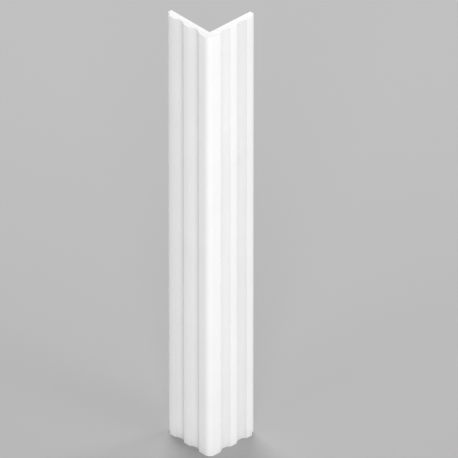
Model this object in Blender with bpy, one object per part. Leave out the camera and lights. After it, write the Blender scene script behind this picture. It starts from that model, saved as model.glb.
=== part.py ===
"""Fluted corner moulding: a straight length of white profile that caps the outside corner of two walls.

Metres, +Z up. The origin is the foot of the inner corner, where the arris of the wall stands. One leg
lies along +X and the other along +Y. Both backs are flat, and both ends are cut square.
"""

import math

import bmesh
import bpy

# Driving dimensions, in metres
LENGTH = 0.500
LEG = 0.0550  # from the inner corner to the tip, along the back
THICKNESS = 0.0092  # from the back to the face of the fillets
NOSE_RADIUS = 0.0070

# Along one leg, measured from the inner corner
TIP_EDGE = 0.0049  # thickness left at the tip
HOLLOW_WIDTH = 0.0059  # the half hollow between the tip and the outer fillet
HOLLOW_SAG = 0.0009
OUTER_FILLET = 0.0071
MIDDLE_FILLET = 0.0080
FLUTE_WIDTH = 0.0139
FLUTE_DEPTH = 0.0031

# Straight facets in each round stretch
HOLLOW_STEPS = 8
FLUTE_STEPS = 20
NOSE_STEPS = 18

WELD_DISTANCE = 0.00001
CAP_NORMAL = 0.9  # a face whose normal rises more than this belongs to a cut end
SHARP_ANGLE = math.radians(20)
PRIMER_WHITE = (0.86, 0.86, 0.85, 1.0)
PRIMER_ROUGHNESS = 0.55


def hollow_arc(start, end, sag, steps):
    """Points after start, up to end, of a circular arc that dips by sag under its chord."""
    half_chord = math.dist(start, end) / 2
    radius = (half_chord**2 + sag**2) / (2 * sag)
    middle = ((start[0] + end[0]) / 2, (start[1] + end[1]) / 2)
    chord_angle = math.atan2(end[1] - start[1], end[0] - start[0])
    away = chord_angle - math.pi / 2
    centre = (
        middle[0] + (radius - sag) * math.cos(away),
        middle[1] + (radius - sag) * math.sin(away),
    )
    half_sweep = math.asin(half_chord / radius)
    first = away + math.pi + half_sweep
    points = []
    for step in range(1, steps + 1):
        angle = first - 2 * half_sweep * step / steps
        points.append((centre[0] + radius * math.cos(angle), centre[1] + radius * math.sin(angle)))
    return points


def leg_profile():
    """The front of one leg as (along the leg, out from the wall), from the tip to the last flute's end."""
    points = [(LEG, 0.0), (LEG, TIP_EDGE)]
    along = LEG - HOLLOW_WIDTH
    points += hollow_arc(points[-1], (along, THICKNESS), HOLLOW_SAG, HOLLOW_STEPS)
    for fillet in (OUTER_FILLET, MIDDLE_FILLET):
        along -= fillet
        start = (along, THICKNESS)
        along -= FLUTE_WIDTH
        points.append(start)
        points += hollow_arc(start, (along, THICKNESS), FLUTE_DEPTH, FLUTE_STEPS)
    return points


def nose_arc():
    """The round nose in X and Y, from the +X leg's face to the +Y leg's face."""
    centre = NOSE_RADIUS - THICKNESS
    points = []
    for step in range(NOSE_STEPS + 1):
        angle = -math.pi / 2 - math.pi / 2 * step / NOSE_STEPS
        points.append((centre + NOSE_RADIUS * math.cos(angle), centre + NOSE_RADIUS * math.sin(angle)))
    return points


def section_outline():
    """The whole cross-section in X and Y: the +X leg, the nose, then the +Y leg and the inner corner."""
    leg = leg_profile()
    x_leg = [(along, -out) for along, out in leg]
    y_leg = [(-out, along) for along, out in reversed(leg)]
    return x_leg + nose_arc() + y_leg + [(0.0, 0.0)]


def flat_curve(name, outline, height):
    """A filled flat outline, extruded to stand from z = 0 up to height."""
    curve = bpy.data.curves.new(name, "CURVE")
    curve.dimensions = "2D"
    curve.fill_mode = "BOTH"
    curve.extrude = height / 2
    spline = curve.splines.new("POLY")
    spline.points.add(len(outline) - 1)
    for point, (x, y) in zip(spline.points, outline):
        point.co = (x, y, 0.0, 1.0)
    spline.use_cyclic_u = True
    guide = bpy.data.objects.new(name, curve)
    guide.location.z = height / 2
    bpy.context.scene.collection.objects.link(guide)
    return guide


def closed_mesh(name, guide):
    """The guide as one closed mesh, with its loose caps welded to its sides; the guide is removed."""
    bpy.context.view_layer.update()
    graph = bpy.context.evaluated_depsgraph_get()
    mesh = bpy.data.meshes.new_from_object(guide.evaluated_get(graph))
    mesh.name = name
    cage = bmesh.new()
    cage.from_mesh(mesh)
    bmesh.ops.remove_doubles(cage, verts=cage.verts, dist=WELD_DISTANCE)
    even_caps(cage)
    bmesh.ops.recalc_face_normals(cage, faces=cage.faces)
    cage.to_mesh(mesh)
    cage.free()
    place = guide.matrix_world.copy()
    curve = guide.data
    bpy.data.objects.remove(guide)
    bpy.data.curves.remove(curve)
    return mesh, place


def even_caps(cage):
    """Each cut end becomes one face again, then the best-shaped triangles that its outline allows."""
    cap_edges = [
        edge
        for edge in cage.edges
        if len(edge.link_faces) == 2 and all(abs(face.normal.z) > CAP_NORMAL for face in edge.link_faces)
    ]
    bmesh.ops.dissolve_edges(cage, edges=cap_edges, use_verts=False)
    caps = [face for face in cage.faces if abs(face.normal.z) > CAP_NORMAL]
    bmesh.ops.triangulate(cage, faces=caps, ngon_method="BEAUTY")


def primer_material():
    """Factory primer on hard foam: a nearly matt, neutral white."""
    material = bpy.data.materials.new("white_primer")
    material.use_nodes = True
    shader = material.node_tree.nodes["Principled BSDF"]
    shader.inputs["Base Color"].default_value = PRIMER_WHITE
    shader.inputs["Roughness"].default_value = PRIMER_ROUGHNESS
    shader.inputs["Metallic"].default_value = 0.0
    material.diffuse_color = PRIMER_WHITE
    return material


def corner_moulding(collection):
    guide = flat_curve("section_guide", section_outline(), LENGTH)
    mesh, place = closed_mesh("corner_moulding", guide)
    mesh.shade_smooth()
    mesh.set_sharp_from_angle(angle=SHARP_ANGLE)
    mesh.materials.clear()
    mesh.materials.append(primer_material())
    moulding = bpy.data.objects.new("corner_moulding", mesh)
    moulding.matrix_world = place
    collection.objects.link(moulding)
    return moulding


def main():
    for old in list(bpy.data.objects):
        bpy.data.objects.remove(old)
    collection = bpy.data.collections.new("fluted_corner_moulding")
    bpy.context.scene.collection.children.link(collection)
    corner_moulding(collection)


main()
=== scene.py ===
import math

import bmesh
import bpy
from mathutils import Matrix, Vector


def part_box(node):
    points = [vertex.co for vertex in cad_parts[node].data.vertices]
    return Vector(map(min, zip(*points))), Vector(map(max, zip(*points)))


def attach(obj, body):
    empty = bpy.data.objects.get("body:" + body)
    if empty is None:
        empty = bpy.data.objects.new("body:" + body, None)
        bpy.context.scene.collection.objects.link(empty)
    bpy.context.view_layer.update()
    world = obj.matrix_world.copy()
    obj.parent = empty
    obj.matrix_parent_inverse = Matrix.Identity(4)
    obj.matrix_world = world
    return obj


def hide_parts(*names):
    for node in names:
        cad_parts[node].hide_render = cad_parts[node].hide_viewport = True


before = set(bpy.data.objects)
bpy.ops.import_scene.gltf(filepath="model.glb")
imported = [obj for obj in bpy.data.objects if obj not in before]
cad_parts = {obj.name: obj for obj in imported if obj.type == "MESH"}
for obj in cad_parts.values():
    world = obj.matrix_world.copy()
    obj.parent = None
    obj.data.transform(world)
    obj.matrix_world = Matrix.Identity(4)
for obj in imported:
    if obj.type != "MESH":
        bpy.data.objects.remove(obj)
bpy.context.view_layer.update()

print("frame loaded:", sorted(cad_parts))


# The moulding. Its length, leg and thickness come from the frame, with the inner corner at x = y = 0.
low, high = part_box("corner_moulding")
mouldingSpec = {
    "length": high.z - low.z,
    "leg": high.x,                # back of one leg, inner corner to tip
    "thickness": -low.x,
    "noseRadius": 0.0070,
    "tipEdge": 0.0049,            # thickness left at the tip
    "hollowWidth": 0.0059,        # the half hollow beside the tip
    "hollowSag": 0.0009,
    "outerFillet": 0.0071,
    "middleFillet": 0.0080,
    "fluteWidth": 0.0139,
    "fluteDepth": 0.0031,
    "hollowSteps": 12,
    "fluteSteps": 28,
    "halfNoseSteps": 12,
    "bands": 40,                  # stretches along the length
    "weldDistance": 0.000001,
    "arrisTurn": 25,              # degrees; an outward edge that turns by more is an arris
    "arrisRadius": 0.00015,       # the arrises are nearly crisp
    "arrisSteps": 3,
    "sawnEdge": 0.00012,          # the saw leaves the ends nearly crisp
    "sawnEdgeSteps": 2,
    "paintedShadeDeep": 0.05,             # painted shade: share of the primer's tone darkened at the bottom of a flute
    "paintedShadeCurve": 0.4,             # how soon the painted shade sets in on the way down: 1 is evenly, less is sooner
    "paintedShadeNoseFlank": 0.12,        # painted shade on a flute's steep edge that faces the nose
    "paintedShadeTipFlank": 0.05,         # painted shade on the steep edge that faces the tip
    "paintedShadeTips": 0.08,             # painted shade at a tip, growing from the middle fillet outward
}
capNormal = 0.9                   # a face whose normal has more of one direction than this faces that way
smoothBelow = 35                  # degrees; an edge that turns by less is shaded smooth


def runTo(bm, tip, x, y):
    # a straight stretch of the outline, from its last point to x, y
    new = bmesh.ops.extrude_vert_indiv(bm, verts=[tip])["verts"][0]
    bmesh.ops.translate(bm, verts=[new], vec=Vector((x, y, 0)) - new.co)
    return new


def sweepTo(bm, tip, x, y, sag, steps):
    # a hollow stretch: the last point is spun to x, y on an arc that dips by sag into the material
    start, end = tip.co.copy(), Vector((x, y, 0))
    chord = end - start
    half = chord.length / 2
    radius = (half ** 2 + sag ** 2) / (2 * sag)
    outward = Vector((chord.y, -chord.x, 0)).normalized()
    if outward.dot(Vector((-1, -1, 0))) < 0:
        outward.negate()
    centre = (start + end) / 2 + outward * (radius - sag)
    turn = 2 * math.asin(half / radius)
    if (start - centre).cross(end - centre).z < 0:
        turn = -turn
    swept = bmesh.ops.spin(bm, geom=[tip], cent=centre, axis=(0, 0, 1), dvec=(0, 0, 0), angle=turn,
                           steps=steps, space=Matrix.Identity(4), use_merge=False,
                           use_normal_flip=False, use_duplicate=False)
    return swept["geom_last"][0]


def drawLeg(bm, spec):
    # half the section, along +X: inner corner, back, tip, then the front up to the middle of the nose
    face = -spec["thickness"]
    tip = bmesh.ops.create_vert(bm, co=(0, 0, 0))["vert"][0]
    tip = runTo(bm, tip, spec["leg"], 0)
    tip = runTo(bm, tip, spec["leg"], -spec["tipEdge"])
    along = spec["leg"] - spec["hollowWidth"]
    tip = sweepTo(bm, tip, along, face, spec["hollowSag"], spec["hollowSteps"])
    for fillet in (spec["outerFillet"], spec["middleFillet"]):
        along -= fillet
        tip = runTo(bm, tip, along, face)
        along -= spec["fluteWidth"]
        tip = sweepTo(bm, tip, along, face, spec["fluteDepth"], spec["fluteSteps"])
    noseCentre = spec["noseRadius"] - spec["thickness"]
    tip = runTo(bm, tip, noseCentre, face)
    bmesh.ops.spin(bm, geom=[tip], cent=(noseCentre, noseCentre, 0), axis=(0, 0, 1), dvec=(0, 0, 0),
                   angle=-math.pi / 4, steps=spec["halfNoseSteps"], space=Matrix.Identity(4),
                   use_merge=False, use_normal_flip=False, use_duplicate=False)


def sharpEdges(bm, least):
    # convex edges that turn by more than least
    return [e for e in bm.edges if len(e.link_faces) == 2 and e.is_convex and e.calc_face_angle() > least]


def buildMoulding(spec):
    bm = bmesh.new()
    drawLeg(bm, spec)
    band = Vector((0, 0, spec["length"] / spec["bands"]))
    rim = list(bm.edges)
    for _ in range(spec["bands"]):
        grown = bmesh.ops.extrude_edge_only(bm, edges=rim)["geom"]
        bmesh.ops.translate(bm, verts=[g for g in grown if isinstance(g, bmesh.types.BMVert)], vec=band)
        rim = [g for g in grown if isinstance(g, bmesh.types.BMEdge)]
    # the other leg is the first one mirrored in the diagonal plane through the nose
    diagonal = Matrix.Rotation(math.radians(45), 4, "Z")
    bmesh.ops.mirror(bm, geom=list(bm.verts) + list(bm.edges) + list(bm.faces), matrix=diagonal,
                     merge_dist=0, axis="X")
    bmesh.ops.remove_doubles(bm, verts=bm.verts, dist=spec["weldDistance"])
    bmesh.ops.recalc_face_normals(bm, faces=bm.faces)
    arrises = sharpEdges(bm, math.radians(spec["arrisTurn"]))
    bmesh.ops.bevel(bm, geom=arrises, offset=spec["arrisRadius"],
                    offset_type="OFFSET", segments=spec["arrisSteps"], profile=0.5, affect="EDGES",
                    clamp_overlap=True, material=-1)
    bmesh.ops.holes_fill(bm, edges=[e for e in bm.edges if e.is_boundary], sides=0)
    bmesh.ops.recalc_face_normals(bm, faces=bm.faces)
    caps = [f for f in bm.faces if abs(f.normal.z) > capNormal]
    rims = {e for f in caps for e in f.edges}
    bmesh.ops.bevel(bm, geom=list(rims), offset=spec["sawnEdge"], offset_type="OFFSET",
                    segments=spec["sawnEdgeSteps"], profile=0.5, affect="EDGES",
                    clamp_overlap=True, material=-1)
    return bm


def paintedShadeMap(bm, spec):
    # how much painted shade darkens each point: toward the tips, deep in a flute, and on its flanks
    layer = bm.verts.layers.float.new("paintedShadeMap")
    bm.normal_update()
    halfWidth, depth = spec["fluteWidth"] / 2, spec["fluteDepth"]
    deepest = depth * 1.001                       # a little over, for rounding
    steepest = 2 * math.atan(depth / halfWidth)
    outward = spec["hollowWidth"] + spec["outerFillet"] + spec["fluteWidth"] + spec["middleFillet"]
    for vert in bm.verts:
        alongAxis = 0 if vert.co.x > vert.co.y else 1     # X on one leg, Y on the other
        along, across = vert.co[alongAxis], vert.co[1 - alongAxis]
        paintedShade = spec["paintedShadeTips"] * min(1, max(0, 1 - (spec["leg"] - along) / outward))
        dip = across + spec["thickness"]
        inFlutes = spec["noseRadius"] - spec["thickness"] < along < spec["leg"] - spec["hollowWidth"]
        if inFlutes and 0 < dip <= deepest:
            lean, facing = vert.normal[alongAxis], -vert.normal[1 - alongAxis]
            flank = min(1, math.acos(min(1, max(-1, facing))) / steepest)
            paintedShade += spec["paintedShadeDeep"] * (dip / depth) ** spec["paintedShadeCurve"]
            paintedShade += (spec["paintedShadeNoseFlank"] if lean < 0 else spec["paintedShadeTipFlank"]) * flank ** 2
        vert[layer] = paintedShade


def sortFaces(bm, spec):
    # 0 primed front and tips, 1 sawn ends, 2 bare back
    tipEnd = spec["leg"] - spec["arrisRadius"] * 2
    for face in bm.faces:
        middle = face.calc_center_median()
        if abs(face.normal.z) > capNormal:
            face.material_index = 1
        elif max(face.normal.xy) > capNormal and max(middle.xy) < tipEnd:
            face.material_index = 2


def finishPiece(bm, name, materials):
    mesh = bpy.data.meshes.new(name)
    bm.to_mesh(mesh)
    bm.free()
    mesh.shade_smooth()
    mesh.set_sharp_from_angle(angle=math.radians(smoothBelow))
    for material in materials:
        mesh.materials.append(material)
    piece = bpy.data.objects.new(name, mesh)
    bpy.context.scene.collection.objects.link(piece)
    return piece


# Finishes. Every pattern reads Object coordinates in metres, so each size here is the real one.
primerSpec = {
    "tone": 0.90, "roughness": 0.52, "specular": 0.35,
    "cloudSize": 0.045, "cloudTone": 0.012,              # how evenly the coat lies
    "speckSize": 0.0011, "speckTone": 0.010,
    "sheenSize": 0.009, "sheenDrift": 0.10,
    "peelSize": 0.0015, "peelHeight": 0.000016,          # fine orange peel
    "drawnSize": 0.0008, "drawnLength": 0.35, "drawnHeight": 0.000010,
}
sawnSpec = {
    "tone": 0.83, "roughness": 0.85, "specular": 0.25,
    "cellSize": 0.00042, "cellTone": 0.07, "cellHeight": 0.00005,
    "patchSize": 0.0028, "patchTone": 0.035,
    "markPitch": 0.0023, "markWaver": 1.5, "markTone": 0.012, "markHeight": 0.00002,
}
backSpec = {
    "tone": 0.80, "roughness": 0.78, "specular": 0.25,
    "patchSize": 0.006, "patchDetail": 4.0, "patchTone": 0.03,
    "cellSize": 0.0009, "cellTone": 0.02, "cellHeight": 0.00002,
    "drawnSize": 0.0012, "drawnLength": 0.5, "drawnHeight": 0.00003,
}
noiseSpread = 0.2                 # most of a noise lies this close to its middle value of 0.5
waveSpan = 0.444                  # distance between slanting wave bands at scale 1, on a level face


def addNode(tree, kind, sockets, **settings):
    node = tree.nodes.new(kind)
    for key, value in settings.items():
        setattr(node, key, value)
    for key, value in sockets.items():
        if isinstance(value, bpy.types.NodeSocket):
            tree.links.new(value, node.inputs[key])
        else:
            node.inputs[key].default_value = value
    return node


def calc(tree, operation, *values):
    return addNode(tree, "ShaderNodeMath", dict(enumerate(values)), operation=operation).outputs[0]


def noiseOf(tree, place, size, detail=2.0):
    # a noise about 0, mostly within 1 either way
    noise = addNode(tree, "ShaderNodeTexNoise", {"Vector": place, "Scale": 1 / size, "Detail": detail})
    return calc(tree, "MULTIPLY_ADD", noise.outputs["Fac"], 1 / noiseSpread, -0.5 / noiseSpread)


def cellsOf(tree, place, size):
    # foam cells: 0 at the middle of each, about 0.5 and more at its walls
    return addNode(tree, "ShaderNodeTexVoronoi", {"Vector": place, "Scale": 1 / size}).outputs["Distance"]


def drawnOf(tree, place, spec):
    # faint lines that run the length of the piece, as it leaves the die
    squeeze = (1, 1, spec["drawnSize"] / spec["drawnLength"])
    along = addNode(tree, "ShaderNodeVectorMath", {0: place, 1: squeeze}, operation="MULTIPLY").outputs[0]
    return noiseOf(tree, along, spec["drawnSize"])


def raised(tree, height, distance, below=None):
    sockets = {"Height": height, "Distance": distance, "Strength": 1.0}
    if below is not None:
        sockets["Normal"] = below
    return addNode(tree, "ShaderNodeBump", sockets).outputs["Normal"]


def newFinish(name, spec):
    material = bpy.data.materials.new(name)
    material.use_nodes = True
    tree = material.node_tree
    shader = tree.nodes["Principled BSDF"]
    shader.inputs["Roughness"].default_value = spec["roughness"]
    shader.inputs["Specular IOR Level"].default_value = spec["specular"]
    place = addNode(tree, "ShaderNodeTexCoord", {}).outputs["Object"]
    return material, tree, shader, place


def layTone(tree, tone, *layers):
    # adds each (pattern, amount) to the middle tone; the result is a neutral colour
    for pattern, amount in layers:
        tone = calc(tree, "MULTIPLY_ADD", pattern, amount, tone)
    return tone


def factoryPrimer(spec):
    # white spray primer, with painted shade darkening it toward the tips, down in the flutes and on their
    # flanks
    material, tree, shader, place = newFinish("factoryPrimer", spec)
    tone = layTone(tree, spec["tone"],
                   (noiseOf(tree, place, spec["cloudSize"]), spec["cloudTone"]),
                   (noiseOf(tree, place, spec["speckSize"]), spec["speckTone"]))
    # painted shade: the darkening stored on the mesh lowers the primer's base colour in the flutes, on their
    # flanks and toward the tips
    paintedShade = addNode(tree, "ShaderNodeAttribute", {}, attribute_name="paintedShadeMap").outputs["Fac"]
    unshaded = calc(tree, "SUBTRACT", 1.0, paintedShade)
    tree.links.new(calc(tree, "MULTIPLY", tone, unshaded), shader.inputs["Base Color"])
    sheen = noiseOf(tree, place, spec["sheenSize"])
    rough = calc(tree, "MULTIPLY_ADD", sheen, spec["sheenDrift"], spec["roughness"])
    tree.links.new(rough, shader.inputs["Roughness"])
    lines = raised(tree, drawnOf(tree, place, spec), spec["drawnHeight"])
    peel = raised(tree, noiseOf(tree, place, spec["peelSize"]), spec["peelHeight"], lines)
    tree.links.new(peel, shader.inputs["Normal"])
    return material


def sawnFoam(spec):
    # the cut ends: open fine cells with the marks of the saw
    material, tree, shader, place = newFinish("sawnFoam", spec)
    cells = cellsOf(tree, place, spec["cellSize"])
    marks = addNode(tree, "ShaderNodeTexWave",
                    {"Vector": place, "Scale": waveSpan / spec["markPitch"],
                     "Distortion": spec["markWaver"], "Detail Scale": 0.6},
                    wave_type="BANDS", bands_direction="DIAGONAL").outputs["Fac"]
    tone = layTone(tree, spec["tone"],
                   (cells, spec["cellTone"]),
                   (noiseOf(tree, place, spec["patchSize"]), spec["patchTone"]),
                   (marks, spec["markTone"]))
    tree.links.new(tone, shader.inputs["Base Color"])
    cut = raised(tree, marks, spec["markHeight"])
    tree.links.new(raised(tree, cells, spec["cellHeight"], cut), shader.inputs["Normal"])
    return material


def bareBack(spec):
    # the glued side: unpainted skin with faint cells and drawn lines
    material, tree, shader, place = newFinish("bareBack", spec)
    cells = cellsOf(tree, place, spec["cellSize"])
    tone = layTone(tree, spec["tone"],
                   (noiseOf(tree, place, spec["patchSize"], spec["patchDetail"]), spec["patchTone"]),
                   (cells, spec["cellTone"]))
    tree.links.new(tone, shader.inputs["Base Color"])
    lines = raised(tree, drawnOf(tree, place, spec), spec["drawnHeight"])
    tree.links.new(raised(tree, cells, spec["cellHeight"], lines), shader.inputs["Normal"])
    return material


def paleFloor(spec):
    material = bpy.data.materials.new("paleFloor")
    material.use_nodes = True
    shader = material.node_tree.nodes["Principled BSDF"]
    shader.inputs["Base Color"].default_value = (spec["floorTone"],) * 3 + (1,)
    shader.inputs["Roughness"].default_value = spec["floorRoughness"]
    return material


mouldingMesh = buildMoulding(mouldingSpec)
paintedShadeMap(mouldingMesh, mouldingSpec)
sortFaces(mouldingMesh, mouldingSpec)
mouldingFinishes = [factoryPrimer(primerSpec), sawnFoam(sawnSpec), bareBack(backSpec)]
moulding = finishPiece(mouldingMesh, "fluted_moulding", mouldingFinishes)
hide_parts("corner_moulding")
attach(moulding, "root")
print("moulding built:", len(moulding.data.polygons), "faces")


# Floor, light and camera
stageSpec = {
    "floorSize": 5.0, "floorDrop": 0.0001,
    "floorTone": 0.40, "floorRoughness": 0.9,
    "skyTone": 0.43,
}


def buildFloor(spec):
    bm = bmesh.new()
    bmesh.ops.create_grid(bm, x_segments=1, y_segments=1, size=spec["floorSize"] / 2)
    bmesh.ops.translate(bm, verts=bm.verts, vec=(0, 0, -spec["floorDrop"]))
    floor = finishPiece(bm, "floor", [paleFloor(spec)])
    return floor


def directionFrom(azimuth, elevation):
    # azimuth 0 looks along +Y, so its light or camera stands on the -Y side
    a, e = math.radians(azimuth), math.radians(elevation)
    return Vector((math.sin(a) * math.cos(e), -math.cos(a) * math.cos(e), math.sin(e)))


middle = (low + high) / 2
softboxes = {
    "front": {"azimuth": -45, "elevation": 12, "distance": 2.4, "width": 0.8, "height": 1.0, "power": 24.7},
    "fill": {"azimuth": -90, "elevation": 12, "distance": 2.4, "width": 0.8, "height": 1.0, "power": 6.5},
    "key": {"azimuth": 15, "elevation": 12, "distance": 2.4, "width": 0.8, "height": 1.0, "power": 14.5},
    "side": {"azimuth": 75, "elevation": 12, "distance": 2.4, "width": 0.8, "height": 1.0, "power": 18.6},
    "rear": {"azimuth": 150, "elevation": 50, "distance": 1.8, "width": 1.0, "height": 1.0, "power": 22.3},
}


def buildSoftbox(name, spec):
    lamp = bpy.data.lights.new(name, "AREA")
    lamp.shape = "RECTANGLE"
    lamp.size, lamp.size_y = spec["width"], spec["height"]
    lamp.energy = spec["power"]
    box = bpy.data.objects.new(name, lamp)
    away = directionFrom(spec["azimuth"], spec["elevation"])
    box.location = middle + away * spec["distance"]
    box.rotation_euler = away.to_track_quat("Z", "Y").to_euler()
    box.visible_camera = False
    bpy.context.scene.collection.objects.link(box)
    return box


buildFloor(stageSpec)
for name, spec in softboxes.items():
    buildSoftbox(name, spec)
sky = bpy.data.worlds.new("studio")
sky.use_nodes = True
sky.node_tree.nodes["Background"].inputs["Color"].default_value = (stageSpec["skyTone"],) * 3 + (1,)
bpy.context.scene.world = sky
bpy.context.scene.view_settings.view_transform = "Standard"

# A very long lens far away keeps the upright edges parallel, as in the photograph
cameraSpec = {
    "azimuth": -43.2, "elevation": 33.75,
    "lens": 1400, "sensor": 36, "distance": 17.69, "nearest": 0.1,
    "aimRight": 0.0191, "aimUp": 0.01395,     # where the picture's middle looks, from the axis at half height
}


def buildCamera(spec):
    data = bpy.data.cameras.new("camera")
    data.lens, data.sensor_width = spec["lens"], spec["sensor"]
    data.clip_start, data.clip_end = spec["nearest"], spec["distance"] * 2
    camera = bpy.data.objects.new("camera", data)
    away = directionFrom(spec["azimuth"], spec["elevation"])
    right = Vector((math.cos(math.radians(spec["azimuth"])), math.sin(math.radians(spec["azimuth"])), 0))
    up = away.cross(right)
    aim = Vector((0, 0, middle.z)) + right * spec["aimRight"] + up * spec["aimUp"]
    camera.location = aim + away * spec["distance"]
    camera.rotation_euler = away.to_track_quat("Z", "Y").to_euler()
    bpy.context.scene.collection.objects.link(camera)
    return camera


bpy.context.scene.camera = buildCamera(cameraSpec)
print("stage, light and camera set")
